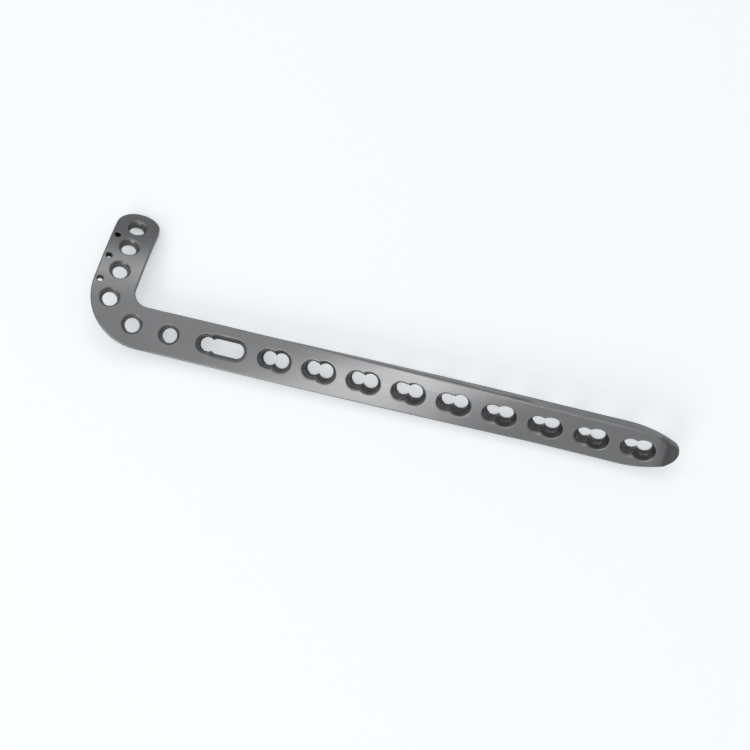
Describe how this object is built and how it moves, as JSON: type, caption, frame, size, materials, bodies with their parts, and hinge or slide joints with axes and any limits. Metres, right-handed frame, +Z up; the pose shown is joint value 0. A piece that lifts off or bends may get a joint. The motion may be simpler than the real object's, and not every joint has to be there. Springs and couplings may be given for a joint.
{
  "type": "distal tibia locking plate",
  "caption": "L-shaped anatomical bone plate with a twisted shaft, combination slots, round locking holes and wire holes, for fixing a distal tibia with screws.",
  "frame": {"origin": "on the surface that the plate lies on, under the middle of its box", "axes": "+X along the shaft from the elbow to the tip, +Z up, away from the bone, with the plate lying on its bone face"},
  "size_m": [0.1722, 0.0418, 0.0124],
  "materials": {
    "plate": "fine blasted and anodised titanium alloy, matt grey"
  },
  "bodies": {
    "root": {"plate": "plate"}
  },
  "joints": []
}
